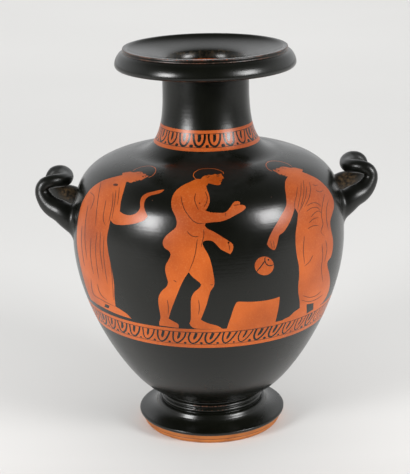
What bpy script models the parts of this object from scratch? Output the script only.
"""A water jar in fired clay: a hollow turned vessel with three handles, in one piece."""

from math import cos, hypot, pi, radians, sin

import bmesh
import bpy
from mathutils import Matrix, Vector
from mathutils.geometry import interpolate_bezier

# Heights of the parts of the jar, stacked from the ground up, in metres
FOOT_HEIGHT = 0.0236
STEM_HEIGHT = 0.0143
BODY_HEIGHT = 0.2404
NECK_LENGTH = 0.0827
LIP_HEIGHT = 0.0190

# Outer radii
FOOT_RING_RADIUS = 0.0676
FOOT_DISC_RADIUS = 0.0734
STEM_RADIUS = 0.0484
BODY_BASE_RADIUS = 0.0521
BELLY_RADIUS = 0.1328
SHOULDER_RADIUS = 0.0739
NECK_RADIUS = 0.0415
LIP_RADIUS = 0.0866
RIM_RADIUS = 0.0786

# Walls
WALL = 0.0055
FLOOR_THICKNESS = 0.0085
RIM_WIDTH = 0.0042
FOOT_WALL = 0.0105

# Body curve, as shares of its own height
BELLY_HEIGHT_SHARE = 0.653
LOWER_FULLNESS = 0.289
UPPER_FULLNESS = 0.231

# Foot mouldings
FOOT_BAND_HEIGHT = 0.0092
FOOT_BAND_TAPER = 0.0034
GROOVE = 0.0007
BEAD_RADIUS = 0.0508
BEAD_HEIGHT = 0.0044
BEADS = 2

# Lip mouldings and mouth
RIM_FILLET_HEIGHT = 0.0032
LIP_UNDERCUT = 0.0030
DISH_DEPTH = 0.0085
THROAT_RADIUS = 0.0375

# Side handles, both set a little behind the jar's middle
SIDE_ROOT_HEIGHT = 0.2193
LEFT_SIDE_DROP = 0.0073
RIGHT_SET_BACK = radians(9.3)
LEFT_SET_BACK = radians(7.3)
RIGHT_TWIST = radians(-4.0)
LEFT_TWIST = 0.0
SIDE_SPREAD = 0.0630
RIGHT_REACH = 0.0276
LEFT_REACH = 0.0278
SIDE_RISE = 0.0381
SIDE_BAR_RADIUS = 0.0063
SIDE_ROOT_RADIUS = 0.0126

# Back handle, from under the lip down to the shoulder
BACK_TOP_DROP = 0.0190
BACK_FOOT_RADIUS = 0.0975
BACK_REACH = 0.0600
BACK_BAR_RADIUS = 0.0078
BACK_ROOT_RADIUS = 0.0140

# Faces round the jar, and steps along its curves
SEGMENTS = 44
BODY_STEPS = 9
SHOULDER_STEPS = 7
NECK_STEPS = 6
ROUND_STEPS = 5
DISC_STEPS = 6
HANDLE_STEPS = 2
BAR_RESOLUTION = 3

# Heights that follow from the stack
STEM_TOP = FOOT_HEIGHT + STEM_HEIGHT
SHOULDER_TOP = STEM_TOP + BODY_HEIGHT
LIP_BASE = SHOULDER_TOP + NECK_LENGTH
RIM_TOP = LIP_BASE + LIP_HEIGHT
BELLY_HEIGHT = STEM_TOP + BODY_HEIGHT * BELLY_HEIGHT_SHARE

CLAY = (0.610, 0.155, 0.048, 1.0)
MERGE = 0.00001


def clear_scene():
    for item in list(bpy.data.objects):
        bpy.data.objects.remove(item, do_unlink=True)


def clay_material():
    material = bpy.data.materials.new("fired_clay_with_black_gloss")
    material.use_nodes = True
    shader = material.node_tree.nodes["Principled BSDF"]
    shader.inputs["Base Color"].default_value = CLAY
    shader.inputs["Roughness"].default_value = 0.28
    shader.inputs["Metallic"].default_value = 0.0
    return material


def curve_points(start, start_pull, end_pull, end, steps):
    """Points (radius, height) along one smooth stretch, both ends included."""
    corners = [Vector((r, 0.0, z)) for r, z in (start, start_pull, end_pull, end)]
    points = interpolate_bezier(*corners, steps + 1)
    return [(p.x, p.z) for p in points]


def quarter_round(centre, across, up, steps, turn):
    """A quarter of an ellipse about centre; turn says which end comes first."""
    points = []
    for step in range(steps + 1):
        angle = pi / 2 * step / steps
        if turn == "top first":
            angle = pi / 2 - angle
        points.append((centre[0] + across * cos(angle), centre[1] + up * sin(angle)))
    return points


def neck_curve():
    """From the straight of the neck down onto the shoulder."""
    root = SHOULDER_RADIUS - NECK_RADIUS
    straight = SHOULDER_TOP + NECK_LENGTH * 0.745
    return curve_points(
        (NECK_RADIUS, straight),
        (NECK_RADIUS, straight - NECK_LENGTH * 0.492),
        (NECK_RADIUS + root * 0.236, SHOULDER_TOP + NECK_LENGTH * 0.010),
        (SHOULDER_RADIUS, SHOULDER_TOP),
        NECK_STEPS,
    )


def shoulder_curve():
    """From the shoulder's edge out and down to the widest part of the belly."""
    swell = BELLY_RADIUS - SHOULDER_RADIUS
    return curve_points(
        (SHOULDER_RADIUS, SHOULDER_TOP),
        (SHOULDER_RADIUS + swell * 0.829, SHOULDER_TOP - BODY_HEIGHT * 0.0362),
        (BELLY_RADIUS, BELLY_HEIGHT + BODY_HEIGHT * UPPER_FULLNESS),
        (BELLY_RADIUS, BELLY_HEIGHT),
        SHOULDER_STEPS,
    )


def lower_curve():
    """From the widest part of the belly in to the stem."""
    swell = BELLY_RADIUS - BODY_BASE_RADIUS
    return curve_points(
        (BELLY_RADIUS, BELLY_HEIGHT),
        (BELLY_RADIUS, BELLY_HEIGHT - BODY_HEIGHT * LOWER_FULLNESS),
        (BODY_BASE_RADIUS + swell * 0.268, STEM_TOP - BODY_HEIGHT * 0.0108),
        (BODY_BASE_RADIUS, STEM_TOP),
        BODY_STEPS,
    )


def body_curve():
    return neck_curve() + shoulder_curve()[1:] + lower_curve()[1:]


def wall_radius(height):
    """The jar's outer radius at a height on the belly."""
    points = body_curve()
    for upper, lower in zip(points, points[1:]):
        if lower[1] <= height <= upper[1]:
            share = (height - lower[1]) / (upper[1] - lower[1])
            return lower[0] + (upper[0] - lower[0]) * share
    return BELLY_RADIUS


def inset(points, distance):
    """The same curve moved inwards by the wall, square to its own run."""
    moved = []
    for index, point in enumerate(points):
        before = points[max(index - 1, 0)]
        after = points[min(index + 1, len(points) - 1)]
        run = (after[0] - before[0], after[1] - before[1])
        length = hypot(*run)
        moved.append((point[0] + run[1] / length * distance, point[1] - run[0] / length * distance))
    return moved


def lip_outline():
    """Flat rim, upright fillet, swelling face and undercut, down to the neck."""
    swell_top = RIM_TOP - RIM_FILLET_HEIGHT
    widest = LIP_BASE + LIP_UNDERCUT * 1.3
    points = [(0.0, RIM_TOP), (RIM_RADIUS, RIM_TOP), (RIM_RADIUS, swell_top)]
    points += quarter_round(
        (RIM_RADIUS + GROOVE, widest),
        LIP_RADIUS - RIM_RADIUS - GROOVE,
        swell_top - widest - GROOVE,
        ROUND_STEPS,
        "top first",
    )
    under = quarter_round(
        (LIP_RADIUS - LIP_UNDERCUT, widest), LIP_UNDERCUT, LIP_BASE - widest, 3, "side first"
    )
    points += under[1:]
    points.append((NECK_RADIUS + LIP_UNDERCUT, LIP_BASE))
    points.append((NECK_RADIUS, LIP_BASE - LIP_UNDERCUT))
    return points


def foot_outline():
    """Beads on the stem, hollow upper face and grooved band, down to the ground."""
    points = []
    for count in range(BEADS):
        top = FOOT_HEIGHT + GROOVE + BEAD_HEIGHT * (BEADS - count)
        points.append((STEM_RADIUS, top))
        points.append((BEAD_RADIUS, top - BEAD_HEIGHT * 0.35))
        points.append((BEAD_RADIUS, top - BEAD_HEIGHT * 0.70))
    points.append((STEM_RADIUS + GROOVE, FOOT_HEIGHT - GROOVE / 2))
    widest = FOOT_BAND_HEIGHT + GROOVE * 5
    root = STEM_RADIUS + GROOVE * 5
    flare = FOOT_DISC_RADIUS - root
    rise = FOOT_HEIGHT - widest
    points += curve_points(
        (root, FOOT_HEIGHT),
        (root + flare * 0.07, FOOT_HEIGHT - rise * 0.47),
        (root + flare * 0.28, widest + rise * 0.16),
        (FOOT_DISC_RADIUS - GROOVE * 2, widest + GROOVE),
        DISC_STEPS,
    )
    points.append((FOOT_DISC_RADIUS, widest))
    points.append((FOOT_DISC_RADIUS - GROOVE / 2, FOOT_BAND_HEIGHT + GROOVE * 2))
    points.append((FOOT_RING_RADIUS + FOOT_BAND_TAPER + GROOVE, FOOT_BAND_HEIGHT))
    middle = FOOT_BAND_HEIGHT / 2
    halfway = FOOT_RING_RADIUS + FOOT_BAND_TAPER / 2
    points.append((halfway + GROOVE, middle + GROOVE))
    points.append((halfway - GROOVE, middle))
    points.append((halfway, middle - GROOVE))
    points.append((FOOT_RING_RADIUS, 0.0))
    return points


def underside_outline():
    """The hollow under the foot, up to the jar's own floor."""
    inner = STEM_RADIUS - FOOT_WALL
    crown = STEM_TOP + WALL - FLOOR_THICKNESS
    return [
        (FOOT_RING_RADIUS - FOOT_WALL, 0.0),
        (FOOT_RING_RADIUS - FOOT_WALL * 1.3, FOOT_BAND_HEIGHT * 0.7),
        (inner + FOOT_WALL * 0.6, FOOT_HEIGHT * 0.66),
        (inner, FOOT_HEIGHT * 0.96),
        (inner * 0.75, crown * 0.97),
        (0.0, crown),
    ]


def cavity_outline():
    """Open mouth, shallow dish, throat, neck bore, belly and floor."""
    above = RIM_TOP + WALL
    edge = RIM_RADIUS - RIM_WIDTH
    throat_height = RIM_TOP - DISH_DEPTH
    points = [(0.0, above), (edge, above)]
    points += curve_points(
        (edge, RIM_TOP),
        (edge - RIM_WIDTH, RIM_TOP - DISH_DEPTH * 0.75),
        (THROAT_RADIUS + RIM_WIDTH, throat_height + DISH_DEPTH * 0.10),
        (THROAT_RADIUS, throat_height - DISH_DEPTH * 0.35),
        ROUND_STEPS,
    )
    inner = inset(body_curve(), WALL)
    floor = STEM_TOP + WALL
    points += [point for point in inner if point[1] > floor + WALL / 4]
    points.append((BODY_BASE_RADIUS - WALL / 2, floor))
    points.append((0.0, floor))
    return points


def turned(name, outline):
    """Spins an outline that runs down its outer side into a closed solid."""
    mesh = bpy.data.meshes.new(name)
    edges = [(index, index + 1) for index in range(len(outline) - 1)]
    mesh.from_pydata([(r, 0.0, z) for r, z in outline], edges, [])
    solid = bpy.data.objects.new(name, mesh)
    bpy.context.scene.collection.objects.link(solid)
    screw = solid.modifiers.new("turning", "SCREW")
    screw.axis = "Z"
    screw.angle = 2 * pi
    screw.steps = SEGMENTS
    screw.render_steps = SEGMENTS
    screw.use_merge_vertices = True
    screw.merge_threshold = MERGE
    screw.use_smooth_shade = True
    return solid


def bar(name, keys, placed):
    """A round bar with swelling ends along smooth keys of (place, radius)."""
    curve = bpy.data.curves.new(name, "CURVE")
    curve.dimensions = "3D"
    curve.resolution_u = HANDLE_STEPS
    curve.bevel_depth = 1.0
    curve.bevel_resolution = BAR_RESOLUTION
    curve.use_fill_caps = True
    spline = curve.splines.new("BEZIER")
    spline.bezier_points.add(len(keys) - 1)
    for point, (place, radius) in zip(spline.bezier_points, keys):
        point.co = placed @ Vector(place)
        point.radius = radius
        point.handle_left_type = "AUTO"
        point.handle_right_type = "AUTO"
    shape = bpy.data.objects.new(name, curve)
    bpy.context.scene.collection.objects.link(shape)
    graph = bpy.context.evaluated_depsgraph_get()
    mesh = bpy.data.meshes.new_from_object(shape.evaluated_get(graph))
    bpy.data.objects.remove(shape, do_unlink=True)
    solid = bpy.data.objects.new(name, mesh)
    bpy.context.scene.collection.objects.link(solid)
    tidy_bar(mesh)
    return solid


def tidy_bar(mesh):
    """Closes the bar's seam and turns its faces outwards."""
    work = bmesh.new()
    work.from_mesh(mesh)
    bmesh.ops.remove_doubles(work, verts=work.verts, dist=MERGE)
    bmesh.ops.recalc_face_normals(work, faces=work.faces)
    work.to_mesh(mesh)
    work.free()


def side_handle(name, turn, root_height, reach, twist):
    """A loop whose bars leave the belly apart, climb, close in and curl back."""
    shares = [
        (-0.50, 0.81, -0.18, SIDE_ROOT_RADIUS),
        (0.05, 0.87, 0.14, SIDE_ROOT_RADIUS * 0.95),
        (0.28, 0.87, 0.27, SIDE_BAR_RADIUS * 1.73),
        (0.68, 0.78, 0.41, SIDE_BAR_RADIUS * 1.56),
        (0.92, 0.74, 0.61, SIDE_BAR_RADIUS * 1.26),
        (1.00, 0.71, 0.79, SIDE_BAR_RADIUS * 1.06),
        (0.92, 0.70, 0.94, SIDE_BAR_RADIUS),
        (0.68, 0.63, 1.01, SIDE_BAR_RADIUS * 1.02),
        (0.43, 0.44, 1.00, SIDE_BAR_RADIUS * 1.06),
        (0.30, 0.00, 0.96, SIDE_BAR_RADIUS * 1.08),
    ]
    keys = []
    for out, aside, up, radius in shares:
        place = (out * reach, -aside * SIDE_SPREAD / 2, up * SIDE_RISE)
        keys.append((place, radius))
    for (out, aside, up), radius in reversed(keys[:-1]):
        keys.append(((out, -aside, up), radius))
    root = Vector((wall_radius(root_height), 0.0, root_height))
    placed = Matrix.Rotation(turn, 4, "Z") @ Matrix.Translation(root)
    placed = placed @ Matrix.Rotation(twist, 4, "Z")
    return bar(name, keys, placed)


def back_handle():
    """An upright loop behind the neck, from under the lip to the shoulder."""
    top = LIP_BASE - BACK_TOP_DROP
    base = BACK_FOOT_RADIUS - NECK_RADIUS
    drop = top - shoulder_height(BACK_FOOT_RADIUS)
    shares = [
        (-0.04, 0.10, BACK_ROOT_RADIUS * 0.86),
        (0.16, 0.00, (BACK_ROOT_RADIUS + BACK_BAR_RADIUS) / 2),
        (0.48, -0.06, BACK_BAR_RADIUS),
        (0.84, 0.06, BACK_BAR_RADIUS),
        (1.00, 0.34, BACK_BAR_RADIUS),
        (1.00, 0.66, BACK_BAR_RADIUS * 1.06),
        (0.96, 0.90, (BACK_ROOT_RADIUS + BACK_BAR_RADIUS) / 2),
    ]
    keys = []
    for out, down, radius in shares:
        keys.append(((0.0, NECK_RADIUS + out * BACK_REACH, top - down * drop), radius))
    keys.append(((0.0, NECK_RADIUS + base * 0.97, top - 1.06 * drop), BACK_ROOT_RADIUS))
    return bar("back_handle_bar", keys, Matrix.Identity(4))


def shoulder_height(radius):
    """The height of the shoulder's outer face at a radius."""
    points = shoulder_curve()
    for inner, outer in zip(points, points[1:]):
        if inner[0] <= radius <= outer[0]:
            share = (radius - inner[0]) / (outer[0] - inner[0])
            return inner[1] + (outer[1] - inner[1]) * share
    return SHOULDER_TOP


def combine(target, tool, operation):
    step = target.modifiers.new(tool.name, "BOOLEAN")
    step.operation = operation
    step.solver = "EXACT"
    step.object = tool
    tool.hide_render = True
    tool.display_type = "WIRE"


def build_hydria():
    outline = lip_outline() + body_curve() + foot_outline() + underside_outline()
    jar = turned("hydria", outline)
    jar.data.materials.append(clay_material())
    left_height = SIDE_ROOT_HEIGHT - LEFT_SIDE_DROP
    left_turn = pi - LEFT_SET_BACK
    handles = [
        side_handle("right_side_bar", RIGHT_SET_BACK, SIDE_ROOT_HEIGHT, RIGHT_REACH, RIGHT_TWIST),
        side_handle("left_side_bar", left_turn, left_height, LEFT_REACH, LEFT_TWIST),
        back_handle(),
    ]
    for handle in handles:
        combine(jar, handle, "UNION")
    combine(jar, turned("hollow", cavity_outline()), "DIFFERENCE")
    jar.data.shade_smooth()


clear_scene()
build_hydria()
